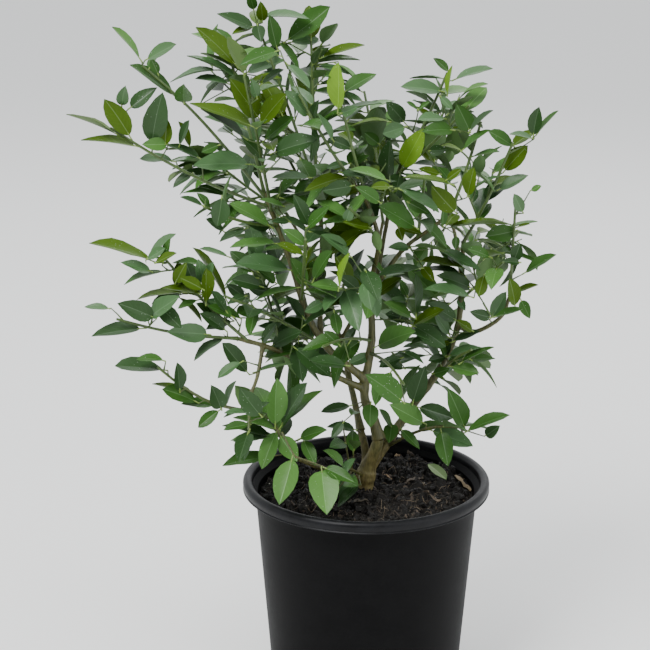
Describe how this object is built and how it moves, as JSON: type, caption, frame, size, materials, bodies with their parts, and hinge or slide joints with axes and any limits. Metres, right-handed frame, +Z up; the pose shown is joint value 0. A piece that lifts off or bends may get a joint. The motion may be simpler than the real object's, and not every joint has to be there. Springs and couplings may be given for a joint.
{
  "type": "potted lime tree",
  "caption": "Small bushy lime tree, several leafy stems on a short trunk, in a round tapered black nursery pot filled with potting mix.",
  "frame": {"origin": "centre of the pot's flat underside, where the pot stands", "axes": "+Z up along the pot's axis; +Y away from the viewer of the picture, into the picture; +X to the right in the picture"},
  "size_m": [0.4087, 0.3341, 0.6257],
  "materials": {
    "black_plastic": "matte",
    "potting_mix": "matte",
    "bark": "matte",
    "green_bark": "satin",
    "leaf_green": "satin"
  },
  "bodies": {
    "root": {"pot": "black_plastic", "soil": "potting_mix", "trunk": "bark", "stem_left": "green_bark", "stem_middle": "green_bark", "stem_right": "green_bark", "bough_left": "green_bark", "bough_center": "green_bark", "bough_low_left": "green_bark", "bough_hanging": "green_bark", "bough_low": "green_bark", "bough_far_right": "green_bark", "bough_right": "green_bark", "bough_upper": "green_bark", "bough_top_right": "green_bark", "bough_rear": "green_bark", "bough_rear_left": "green_bark", "bough_rear_right": "green_bark", "leaves_low_left_end": "leaf_green", "leaves_low_left_up": "leaf_green", "leaves_low_left_inner": "leaf_green", "leaves_hanging_out": "leaf_green", "leaves_hanging_in": "leaf_green", "leaves_rosette": "leaf_green", "leaves_foot": "leaf_green", "leaves_left_reach": "leaf_green", "leaves_left_rise": "leaf_green", "leaves_left_top": "leaf_green", "leaves_left_front": "leaf_green", "leaves_crown_top": "leaf_green", "leaves_crown_top_right": "leaf_green", "leaves_yellow_tip": "leaf_green", "leaves_upper_front": "leaf_green", "leaves_left_low_front": "leaf_green", "leaves_right_top": "leaf_green", "leaves_right_top_front": "leaf_green", "leaves_right_shoot": "leaf_green", "leaves_right_upper": "leaf_green", "leaves_far_right": "leaf_green", "leaves_right_front": "leaf_green", "leaves_right_low": "leaf_green", "leaves_right_foot": "leaf_green", "leaves_middle_front": "leaf_green", "leaves_right_inner": "leaf_green", "leaves_center_low": "leaf_green", "leaves_center_left": "leaf_green", "leaves_center_high": "leaf_green", "leaves_thin_left": "leaf_green", "leaves_center": "leaf_green", "leaves_rear_left_end": "leaf_green", "leaves_rear_left_low": "leaf_green", "leaves_rear_end": "leaf_green", "leaves_rear_low": "leaf_green", "leaves_rear_right_end": "leaf_green", "leaves_rear_right_low": "leaf_green", "leaves_rear_foot": "leaf_green", "leaves_rear_high": "leaf_green", "leaves_rear_top": "leaf_green", "leaves_rear_right_foot": "leaf_green"}
  },
  "joints": []
}
